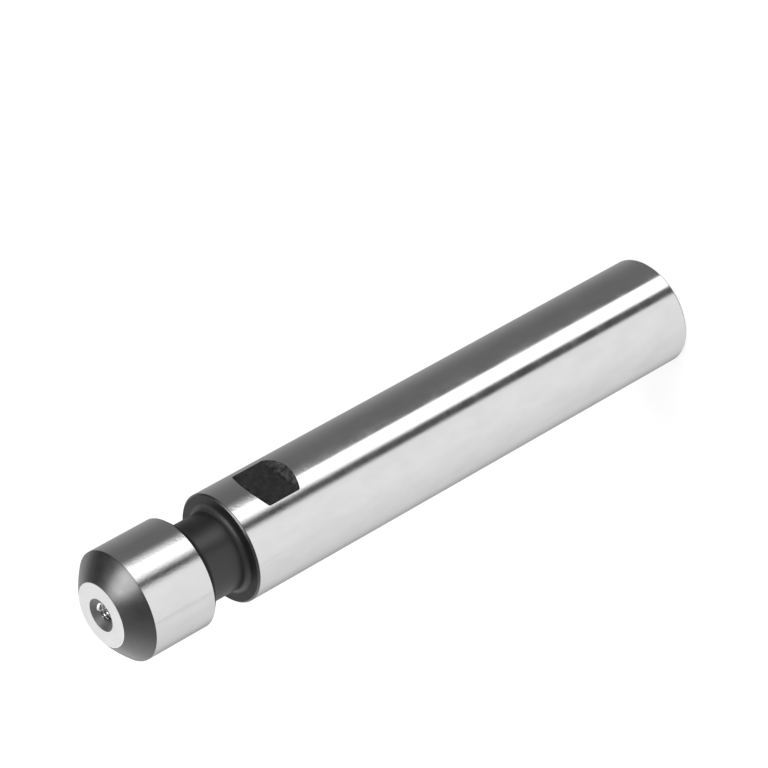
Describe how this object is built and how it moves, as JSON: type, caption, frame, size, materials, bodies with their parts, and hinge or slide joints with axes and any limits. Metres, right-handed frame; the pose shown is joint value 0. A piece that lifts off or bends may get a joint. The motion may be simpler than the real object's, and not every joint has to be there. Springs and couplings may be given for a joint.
{
  "type": "mould coupling rod",
  "caption": "Ground steel rod with a grooved neck, a coned head with a tapped hole, spanner flats and a tapped rear end.",
  "frame": {"origin": "centre of the rear face, the bottom of the box round the rod", "axes": "+Z along the rod's axis from the tapped rear face to the nose; the two spanner flats face -Y and +Y"},
  "size_m": [0.032, 0.032, 0.2],
  "materials": {
    "steel": "shank, head and end faces ground bright; nose, neck, shoulder and flats black"
  },
  "bodies": {
    "root": {"coupling_rod": "steel"}
  },
  "joints": []
}
